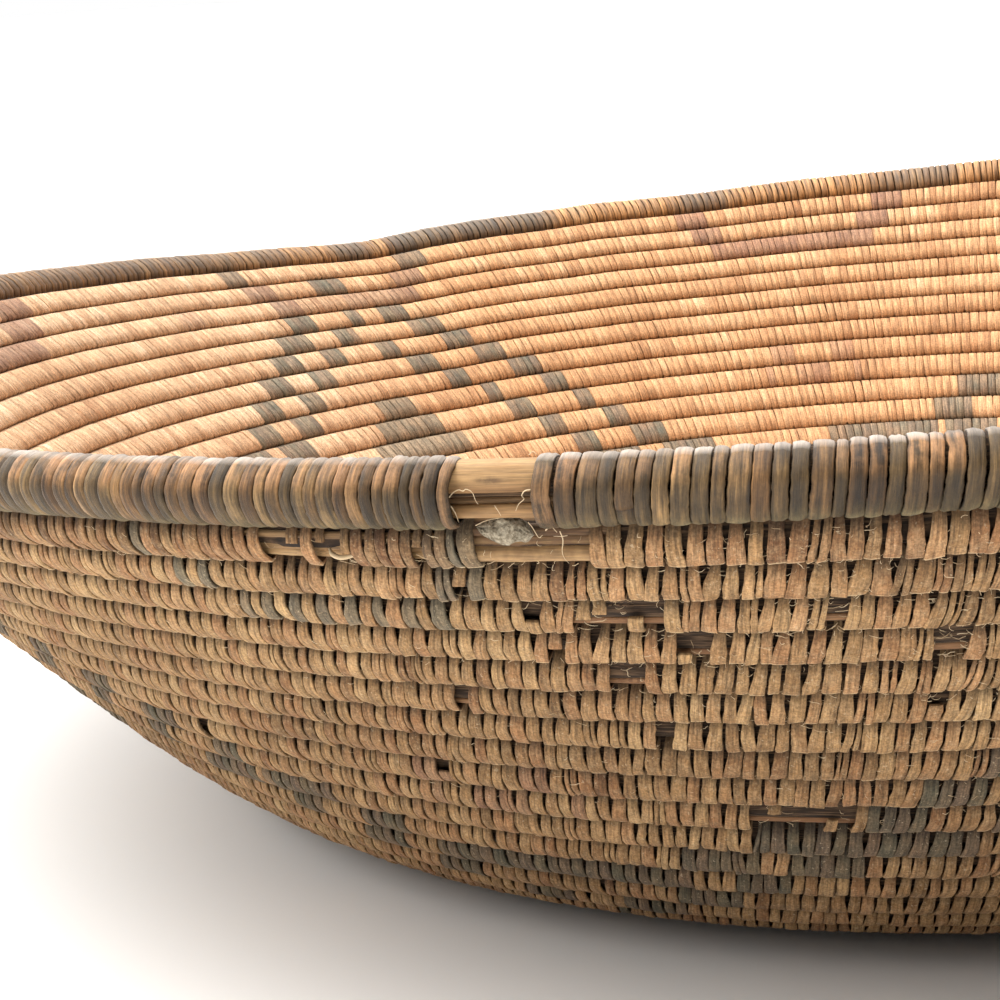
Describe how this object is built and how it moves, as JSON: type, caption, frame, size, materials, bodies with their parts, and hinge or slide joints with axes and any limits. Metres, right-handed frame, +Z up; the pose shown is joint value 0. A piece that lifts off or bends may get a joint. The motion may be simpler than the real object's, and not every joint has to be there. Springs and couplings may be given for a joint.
{
  "type": "coiled basket bowl",
  "caption": "Wide shallow coiled basket bowl with a flat base, flaring stitched wall, bound rim with a worn break and a stepped pattern.",
  "frame": {"origin": "middle of the underside of the base, where the bowl rests", "axes": "+Z up out of the bowl's mouth; -Y is the front, with the break in the rim binding"},
  "size_m": [0.3438, 0.3456, 0.0818],
  "materials": {
    "coil_splint": "dry split splint, tan with grey and red-brown pattern stitches, dusty outside and golden inside",
    "rim_splint": "dark brown split splint, satin where it is worn",
    "bare_rod": "peeled rod, pale, fine lengthwise grain",
    "filler": "grey crumbly filler, matt"
  },
  "bodies": {
    "root": {"center_start": "coil_splint", "coil_01": "coil_splint", "coil_02": "coil_splint", "coil_03": "coil_splint", "coil_04": "coil_splint", "coil_05": "coil_splint", "coil_06": "coil_splint", "coil_07": "coil_splint", "coil_08": "coil_splint", "coil_09": "coil_splint", "coil_10": "coil_splint", "coil_11": "coil_splint", "coil_12": "coil_splint", "coil_13": "coil_splint", "coil_14": "coil_splint", "coil_15": "coil_splint", "coil_16": "coil_splint", "coil_17": "coil_splint", "coil_18": "coil_splint", "coil_19": "coil_splint", "coil_20": "coil_splint", "coil_21": "coil_splint", "coil_22": "coil_splint", "coil_23": "coil_splint", "coil_24": "coil_splint", "coil_25": "coil_splint", "coil_26": "coil_splint", "coil_27": "coil_splint", "coil_28": "coil_splint", "coil_29": "coil_splint", "coil_30": "coil_splint", "coil_31": "coil_splint", "coil_32": "coil_splint", "coil_33": "coil_splint", "rim_binding": "rim_splint", "rim_rod_top": "bare_rod", "rim_rod_outer": "bare_rod", "rim_rod_inner": "bare_rod", "worn_row_rod": "bare_rod", "repair_filler": "filler"}
  },
  "joints": []
}
